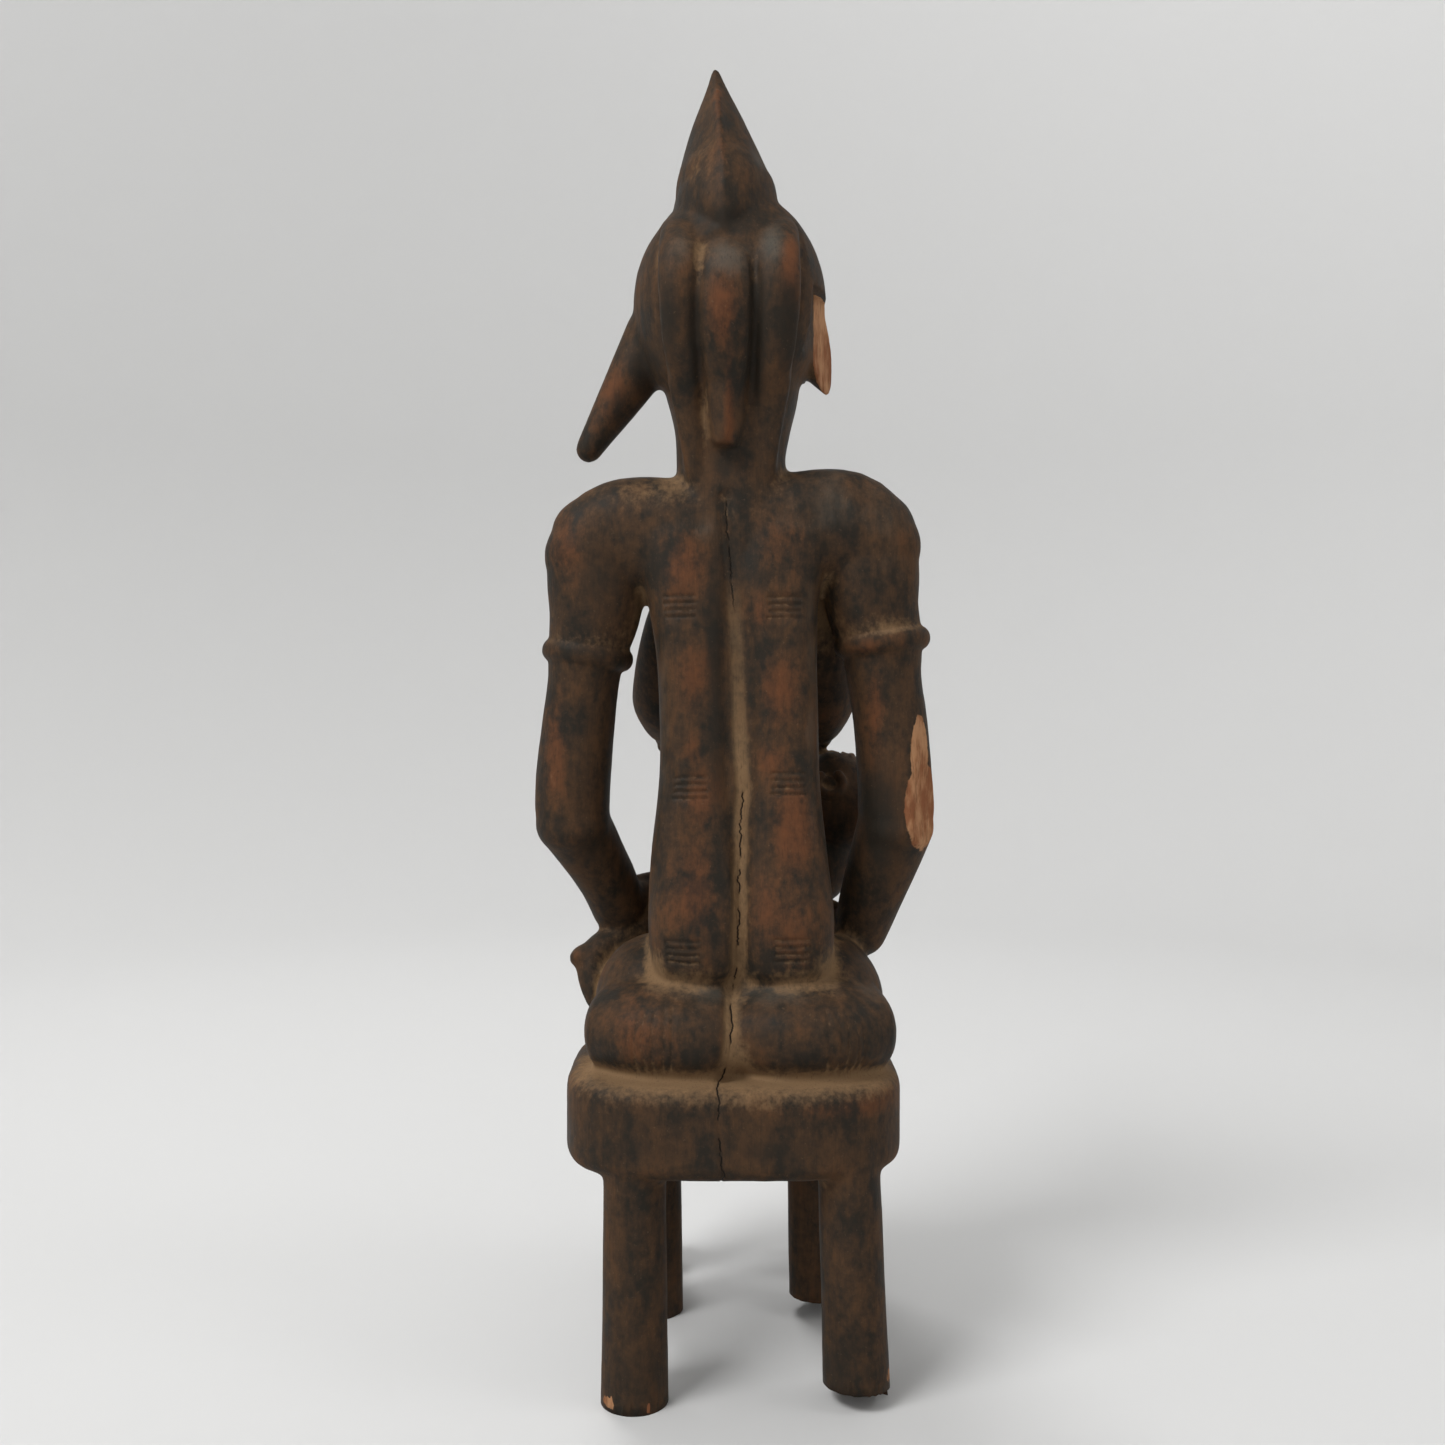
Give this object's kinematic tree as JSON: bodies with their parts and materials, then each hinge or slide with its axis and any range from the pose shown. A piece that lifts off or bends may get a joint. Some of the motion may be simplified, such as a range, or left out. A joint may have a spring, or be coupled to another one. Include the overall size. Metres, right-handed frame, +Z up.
{
  "type": "senufo maternity figure",
  "caption": "Carved wooden figure of a mother seated on a four-legged stool, a child across the lap, with a tall pointed crest of hair; stands by its own weight",
  "frame": {"origin": "centre of the footprint of the whole figure, at floor level under the stool's feet", "axes": "+Z up, the figure faces -Y, its left side is at +X"},
  "size_m": [0.1598, 0.156, 0.509],
  "materials": {
    "patinated_wood": "old hand-carved wood, dark brown-black patina worn reddish brown on the ridges, pale dust in the creases, fresh tan wood at the breaks"
  },
  "bodies": {
    "root": {"maternity_figure": "patinated_wood"}
  },
  "joints": []
}
